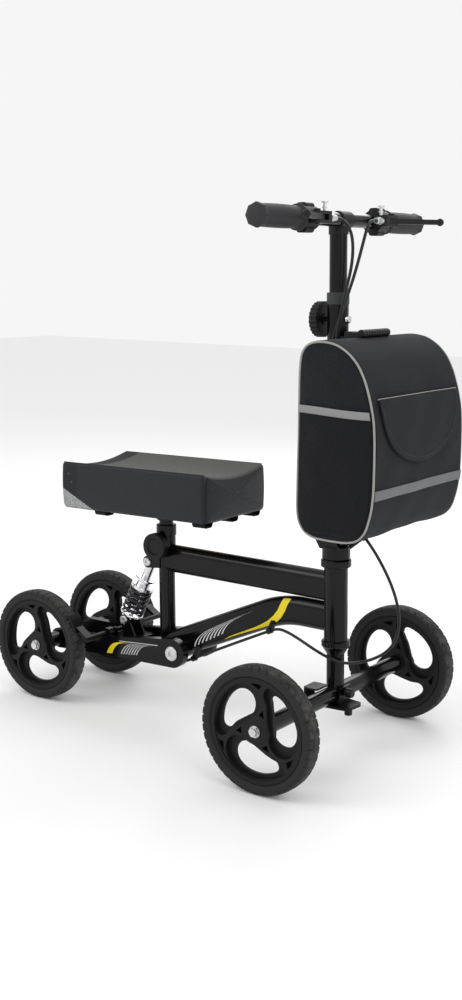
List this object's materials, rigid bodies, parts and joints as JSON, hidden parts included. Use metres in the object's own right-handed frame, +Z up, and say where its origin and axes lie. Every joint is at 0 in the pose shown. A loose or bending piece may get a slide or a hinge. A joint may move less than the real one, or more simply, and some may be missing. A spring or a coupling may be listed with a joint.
{
  "type": "knee_scooter",
  "caption": "Four-wheeled steerable knee scooter with a padded knee rest, sprung rear arm, hand brakes, fold-down steering column and a front bag.",
  "frame": {"origin": "middle of the footprint's bounding box, on the ground", "axes": "+X forward, +Y to the rider's left, +Z up; the column and the seat tube lean 1.25 degrees back"},
  "size_m": [0.8228, 0.4846, 0.8905],
  "materials": {
    "frame_paint": "gloss black powder coat",
    "steel_bright": "zinc-plated steel, satin",
    "chrome": "polished chrome",
    "alloy": "silver aluminium, satin",
    "tyre_rubber": "black rubber, lightly dusted",
    "rim_plastic": "moulded black nylon, satin",
    "black_plastic": "moulded black plastic, fine grain",
    "grey_plastic": "grey moulded plastic",
    "grip_rubber": "soft black rubber",
    "cable_jacket": "black cable housing",
    "bag_fabric": "dark grey woven polyester",
    "seat_cover": "black woven vinyl",
    "board_wood": "plywood, unfinished"
  },
  "bodies": {
    "frame": {"head_tube": "frame_paint", "headset_cups": "frame_paint", "top_tube": "frame_paint", "down_tube": "frame_paint", "seat_tube": "frame_paint", "seat_clamp_collar": "frame_paint", "frame_brackets": "frame_paint", "frame_bolts": "steel_bright", "cable_clips": "frame_paint", "brake_cable_rear": "cable_jacket", "brake_cable_loop": "cable_jacket"},
    "fork": {"steerer": "frame_paint", "front_beam": "frame_paint", "beam_bracket": "frame_paint", "bracket_fittings": "black_plastic", "front_axle_bolts": "steel_bright", "fold_bolt": "steel_bright"},
    "column": {"column_tube": "frame_paint", "column_bushing": "grey_plastic", "column_screw": "steel_bright", "bag_bracket": "black_plastic", "brake_cable_link": "cable_jacket"},
    "fold_lever": {"fold_lever": "black_plastic"},
    "post": {"handlebar_post": "frame_paint", "bar_clamp": "black_plastic", "handlebar": "frame_paint", "grips": "grip_rubber", "lever_perches": "black_plastic", "cable_adjusters": "alloy", "brake_cable_left": "cable_jacket", "brake_cable_right": "cable_jacket"},
    "lever_left": {"brake_lever_left": "black_plastic"},
    "lever_right": {"brake_lever_right": "black_plastic"},
    "lock_left": {"lock_pin_left": "alloy"},
    "lock_right": {"lock_pin_right": "alloy"},
    "column_knob": {"column_knob": "black_plastic"},
    "seat_knob": {"seat_knob": "black_plastic"},
    "seat": {"seat_post": "alloy", "seat_bracket": "frame_paint", "seat_board": "board_wood", "seat_pad": "seat_cover"},
    "swing": {"swing_arms": "frame_paint", "swing_bridge": "frame_paint", "rear_axle_tube": "frame_paint", "swing_bolts": "steel_bright"},
    "brake_bar": {"brake_bar": "alloy"},
    "shock_body": {"shock_body": "chrome"},
    "shock_rod": {"shock_rod": "chrome", "shock_spring": "frame_paint"},
    "bag": {"bag": "bag_fabric", "bag_handle": "black_plastic"},
    "bag_flap": {"bag_flap": "bag_fabric"},
    "wheel_front_left": {"tyre_front_left": "tyre_rubber", "rim_front_left": "rim_plastic"},
    "wheel_front_right": {"tyre_front_right": "tyre_rubber", "rim_front_right": "rim_plastic"},
    "wheel_rear_left": {"tyre_rear_left": "tyre_rubber", "rim_rear_left": "rim_plastic"},
    "wheel_rear_right": {"tyre_rear_right": "tyre_rubber", "rim_rear_right": "rim_plastic"}
  },
  "joints": [
    {"name": "steer", "type": "hinge", "parent": "frame", "child": "fork", "pos_m": [0.26785, 0, 0.1016], "axis": [-0.0218, 0, 0.9998], "range_deg": [-40, 40]},
    {"name": "column_fold", "type": "hinge", "parent": "fork", "child": "column", "pos_m": [0.24601, 0, 0.36899], "axis": [0, 1, 0], "range_deg": [-62, 0]},
    {"name": "handlebar_height", "type": "slide", "parent": "column", "child": "post", "axis": [-0.0218, 0, 0.9998], "range_m": [0, 0.15]},
    {"name": "seat_height", "type": "slide", "parent": "frame", "child": "seat", "axis": [-0.0218, 0, 0.9998], "range_m": [0, 0.13]},
    {"name": "wheel_front_left", "type": "hinge", "parent": "fork", "child": "wheel_front_left", "pos_m": [0.26785, 0.2199, 0.1016], "axis": [0, 1, 0], "continuous": true},
    {"name": "wheel_rear_left", "type": "hinge", "parent": "swing", "child": "wheel_rear_left", "pos_m": [-0.30985, 0.09805, 0.1016], "axis": [0, 1, 0], "continuous": true},
    {"name": "brake_lever_left", "type": "hinge", "parent": "post", "child": "lever_left", "pos_m": [0.28217, 0.112, 0.86649], "axis": [-0.0218, 0, 0.9998], "range_deg": [0, 20], "stiffness_Nm_per_rad": 2, "springref_deg": -5.73},
    {"name": "park_lock_left", "type": "slide", "parent": "post", "child": "lock_left", "axis": [0.0218, 0, -0.9998], "range_m": [0, 0.003], "stiffness_N_per_m": 400, "springref_m": -0.002},
    {"name": "wheel_front_right", "type": "hinge", "parent": "fork", "child": "wheel_front_right", "pos_m": [0.26785, -0.2199, 0.1016], "axis": [0, 1, 0], "continuous": true},
    {"name": "wheel_rear_right", "type": "hinge", "parent": "swing", "child": "wheel_rear_right", "pos_m": [-0.30985, -0.09805, 0.1016], "axis": [0, 1, 0], "continuous": true},
    {"name": "brake_lever_right", "type": "hinge", "parent": "post", "child": "lever_right", "pos_m": [0.28217, -0.112, 0.86649], "axis": [0.0218, 0, -0.9998], "range_deg": [0, 20], "stiffness_Nm_per_rad": 2, "springref_deg": -5.73},
    {"name": "park_lock_right", "type": "slide", "parent": "post", "child": "lock_right", "axis": [0.0218, 0, -0.9998], "range_m": [0, 0.003], "stiffness_N_per_m": 400, "springref_m": -0.002},
    {"name": "column_knob_turn", "type": "hinge", "parent": "column", "child": "column_knob", "pos_m": [0.24021, 0, 0.71284], "axis": [-0.9998, 0, -0.0218], "range_deg": [0, 180]},
    {"name": "seat_knob_turn", "type": "hinge", "parent": "frame", "child": "seat_knob", "pos_m": [-0.08982, -0.013, 0.30495], "axis": [0, -1, 0], "range_deg": [0, 180]},
    {"name": "fold_cam", "type": "hinge", "parent": "fork", "child": "fold_lever", "pos_m": [0.24601, 0.028, 0.36899], "axis": [0.9998, 0, 0.0218], "range_deg": [0, 95]},
    {"name": "suspension", "type": "hinge", "parent": "frame", "child": "swing", "pos_m": [-0.03785, 0, 0.122], "axis": [0, 1, 0], "range_deg": [0, 7], "stiffness_Nm_per_rad": 300, "springref_deg": -8.59},
    {"name": "shock_tilt", "type": "hinge", "parent": "frame", "child": "shock_body", "pos_m": [-0.12085, 0, 0.27], "axis": [0, 1, 0], "range_deg": [0, 1.7]},
    {"name": "shock_stroke", "type": "slide", "parent": "shock_body", "child": "shock_rod", "axis": [0.4287, 0, 0.9034], "range_m": [0, 0.0175], "deforming": ["shock_spring"]},
    {"name": "brake_shoes", "type": "hinge", "parent": "swing", "child": "brake_bar", "pos_m": [-0.19085, 0, 0.132], "axis": [0, -1, 0], "range_deg": [0, 2.5]},
    {"name": "bag_lift", "type": "slide", "parent": "column", "child": "bag", "axis": [-0.0218, 0, 0.9998], "range_m": [0, 0.03]},
    {"name": "bag_flap_turn", "type": "hinge", "parent": "bag", "child": "bag_flap", "pos_m": [0.40055, 0, 0.606], "axis": [0, -1, 0], "range_deg": [0, 110]}
  ],
  "couplings": [
    {"joint": "shock_tilt", "follows": "suspension", "ratio": 0.2215},
    {"joint": "shock_stroke", "follows": "suspension", "m_per_rad": 0.1397},
    {"joint": "brake_shoes", "follows": "brake_lever_left", "ratio": 0.12}
  ]
}
